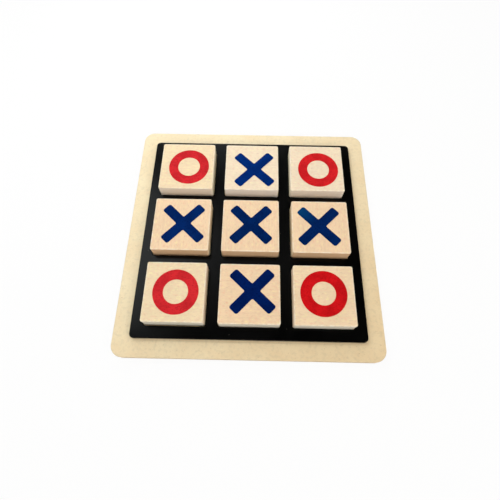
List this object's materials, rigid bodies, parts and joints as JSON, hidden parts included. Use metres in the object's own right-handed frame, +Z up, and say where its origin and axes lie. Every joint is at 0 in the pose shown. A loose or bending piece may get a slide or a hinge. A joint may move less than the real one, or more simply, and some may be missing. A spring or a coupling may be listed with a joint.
{
  "type": "tic tac toe set",
  "caption": "Square wooden tic tac toe board with a raised black grid whose windows hold loose square tiles, each printed with a red ring or a blue cross.",
  "frame": {"origin": "middle of the base board's underside, on the table", "axes": "+Z up out of the playing face, +X to the player's right, +Y away from the player"},
  "size_m": [0.1786, 0.1786, 0.0181],
  "materials": {
    "base_wood": "bare sanded wood-fibre board, matt",
    "black_paint": "wood-fibre sheet in satin black paint",
    "tile_wood": "pale sanded wood, matt",
    "red_ink": "screen-printed ink, satin",
    "blue_ink": "screen-printed ink, satin"
  },
  "bodies": {
    "board": {"base_board": "base_wood", "grid_frame": "black_paint"},
    "far_left_tile": {"tile_far_left": "tile_wood", "ring_far_left": "red_ink"},
    "far_middle_tile": {"tile_far_middle": "tile_wood", "cross_far_middle": "blue_ink"},
    "far_right_tile": {"tile_far_right": "tile_wood", "ring_far_right": "red_ink"},
    "middle_left_tile": {"tile_middle_left": "tile_wood", "cross_middle_left": "blue_ink"},
    "centre_tile": {"tile_centre": "tile_wood", "cross_centre": "blue_ink"},
    "middle_right_tile": {"tile_middle_right": "tile_wood", "cross_middle_right": "blue_ink"},
    "near_left_tile": {"tile_near_left": "tile_wood", "ring_near_left": "red_ink"},
    "near_middle_tile": {"tile_near_middle": "tile_wood", "cross_near_middle": "blue_ink"},
    "near_right_tile": {"tile_near_right": "tile_wood", "ring_near_right": "red_ink"}
  },
  "joints": [
    {"name": "far_left_lift", "type": "slide", "parent": "board", "child": "far_left_tile", "axis": [0, 0, 1], "range_m": [0, 0.04]},
    {"name": "far_middle_lift", "type": "slide", "parent": "board", "child": "far_middle_tile", "axis": [0, 0, 1], "range_m": [0, 0.04]},
    {"name": "far_right_lift", "type": "slide", "parent": "board", "child": "far_right_tile", "axis": [0, 0, 1], "range_m": [0, 0.04]},
    {"name": "middle_left_lift", "type": "slide", "parent": "board", "child": "middle_left_tile", "axis": [0, 0, 1], "range_m": [0, 0.04]},
    {"name": "centre_lift", "type": "slide", "parent": "board", "child": "centre_tile", "axis": [0, 0, 1], "range_m": [0, 0.04]},
    {"name": "middle_right_lift", "type": "slide", "parent": "board", "child": "middle_right_tile", "axis": [0, 0, 1], "range_m": [0, 0.04]},
    {"name": "near_left_lift", "type": "slide", "parent": "board", "child": "near_left_tile", "axis": [0, 0, 1], "range_m": [0, 0.04]},
    {"name": "near_middle_lift", "type": "slide", "parent": "board", "child": "near_middle_tile", "axis": [0, 0, 1], "range_m": [0, 0.04]},
    {"name": "near_right_lift", "type": "slide", "parent": "board", "child": "near_right_tile", "axis": [0, 0, 1], "range_m": [0, 0.04]}
  ]
}
